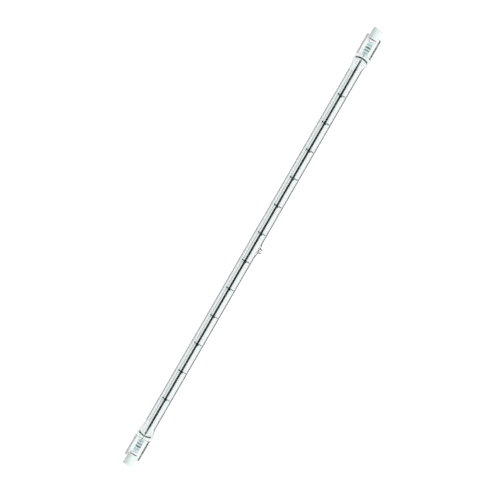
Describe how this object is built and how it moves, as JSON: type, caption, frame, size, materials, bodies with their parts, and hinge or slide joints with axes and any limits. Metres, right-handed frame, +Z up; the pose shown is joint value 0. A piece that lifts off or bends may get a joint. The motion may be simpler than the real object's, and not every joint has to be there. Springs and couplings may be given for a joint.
{
  "type": "quartz heating tube",
  "caption": "Slim linear heating lamp: a clear quartz tube with a coiled filament on spiral supports, flat press seals and round white ceramic end caps.",
  "frame": {"origin": "on the axis of the tube, at the middle of its length", "axes": "+X runs along the tube towards end b, the press seals lie flat in the XY plane with +Z up, and the exhaust tip points to -Y"},
  "size_m": [0.355, 0.0138, 0.0094],
  "materials": {
    "quartz": "clear fused quartz, fire polished",
    "tungsten": "drawn tungsten wire, dark grey",
    "molybdenum": "drawn molybdenum wire, satin grey",
    "foil": "thin rolled molybdenum foil, grey",
    "nickel": "pressed nickel button, satin",
    "ceramic": "white fired steatite, fine matt grain",
    "cement": "set cement, off-white and slightly rough"
  },
  "bodies": {
    "root": {"quartz_envelope": "quartz", "filament": "tungsten", "support_01": "tungsten", "support_02": "tungsten", "support_03": "tungsten", "support_04": "tungsten", "support_05": "tungsten", "support_06": "tungsten", "support_07": "tungsten", "support_08": "tungsten", "support_09": "tungsten", "support_10": "tungsten", "support_11": "tungsten", "support_12": "tungsten", "inner_lead_a": "molybdenum", "inner_lead_b": "molybdenum", "foil_a": "foil", "foil_b": "foil", "outer_lead_a": "molybdenum", "outer_lead_b": "molybdenum", "contact_a": "nickel", "contact_b": "nickel", "cap_a": "ceramic", "cap_b": "ceramic", "cement_a": "cement", "cement_b": "cement"}
  },
  "joints": []
}
